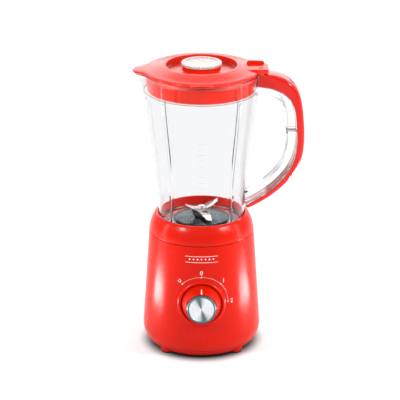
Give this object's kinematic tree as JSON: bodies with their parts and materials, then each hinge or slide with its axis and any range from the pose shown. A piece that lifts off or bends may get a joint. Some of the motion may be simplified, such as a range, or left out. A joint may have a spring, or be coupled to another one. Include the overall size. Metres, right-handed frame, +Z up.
{
  "type": "countertop blender",
  "caption": "Countertop blender: round motor base with a rotary speed dial, clear jug with a covered handle, blade set, lid and measuring cap.",
  "frame": {"origin": "on the blade axis, in the plane that the rubber feet stand on", "axes": "+Z up along the motor and blade axis, +X towards the handle, -Y towards the speed dial"},
  "size_m": [0.2138, 0.1743, 0.3728],
  "materials": {
    "red_shell": "glossy moulded ABS",
    "lid_red": "glossy moulded polypropylene",
    "black_rubber": "matt moulded rubber",
    "lid_seal_red": "soft red silicone",
    "seal_silicone": "soft translucent silicone",
    "screw_steel": "zinc plated",
    "black_plastic": "fine textured moulding",
    "brass": "plain machined",
    "core_steel": "stacked laminations",
    "copper_wire": "enamelled copper",
    "bracket_alloy": "die cast",
    "carbon": "pressed carbon",
    "shaft_steel": "ground",
    "blade_steel": "ground and polished",
    "disc_steel": "polished in rings",
    "spun_metal": "spun face, bright rim",
    "white_mark": "white inlay",
    "clear_jug": "clear moulded plastic",
    "clear_cap": "clear moulded plastic"
  },
  "bodies": {
    "base": {"base_housing": "red_shell", "top_collar": "red_shell", "bottom_cover": "red_shell", "rubber_feet": "black_rubber", "bottom_screws": "screw_steel", "collar_screws": "screw_steel", "dial_bezel": "red_shell", "rotary_switch": "black_plastic", "switch_nut": "screw_steel", "switch_terminals": "brass", "cord_gland": "black_plastic", "stator_core": "core_steel", "field_coils": "copper_wire", "upper_bracket": "bracket_alloy", "lower_bracket": "bracket_alloy", "upper_bearing": "brass", "lower_bearing": "brass", "brush_holders": "brass", "carbon_brushes": "carbon", "stator_bolts": "screw_steel", "motor_grommets": "black_rubber", "motor_screws": "screw_steel", "well_seal": "black_rubber"},
    "rotor": {"motor_shaft": "shaft_steel", "armature_core": "core_steel", "armature_windings": "copper_wire", "commutator": "copper_wire", "cooling_fan": "black_plastic", "drive_coupler": "black_plastic"},
    "knob": {"knob_body": "red_shell", "knob_face": "spun_metal", "knob_pointer": "white_mark", "knob_shaft": "shaft_steel"},
    "jug": {"jug_body": "clear_jug", "jug_handle": "clear_jug", "handle_cover": "red_shell", "handle_screws": "screw_steel", "bearing_holder": "black_plastic", "lock_ring": "black_plastic", "holder_gasket": "seal_silicone", "floor_disc": "disc_steel", "blade_bush": "brass", "shaft_seal": "black_rubber"},
    "blades": {"blade_shaft": "shaft_steel", "lower_blade": "blade_steel", "upper_blade": "blade_steel", "blade_washer": "shaft_steel", "blade_nut": "shaft_steel", "driven_coupler": "black_plastic"},
    "lid": {"lid_body": "lid_red", "lid_seal": "lid_seal_red"},
    "cap": {"measuring_cap": "clear_cap"}
  },
  "joints": [
    {"name": "motor_spin", "type": "hinge", "parent": "base", "child": "rotor", "pos_m": [0, 0, 0.1], "axis": [0, 0, 1], "continuous": true},
    {"name": "knob_turn", "type": "hinge", "parent": "base", "child": "knob", "pos_m": [0, -0.07159, 0.0775], "axis": [0, 0.9978, -0.0668], "range_deg": [-45, 90]},
    {"name": "jug_lift", "type": "slide", "parent": "base", "child": "jug", "axis": [0, 0, 1], "range_m": [0, 0.08]},
    {"name": "blade_spin", "type": "hinge", "parent": "jug", "child": "blades", "pos_m": [0, 0, 0.17], "axis": [0, 0, 1], "continuous": true},
    {"name": "lid_lift", "type": "slide", "parent": "jug", "child": "lid", "axis": [0, 0, 1], "range_m": [0, 0.06]},
    {"name": "cap_lift", "type": "slide", "parent": "lid", "child": "cap", "axis": [0, 0, 1], "range_m": [0, 0.05]}
  ],
  "couplings": [
    {"joint": "blade_spin", "follows": "motor_spin", "ratio": 1}
  ]
}
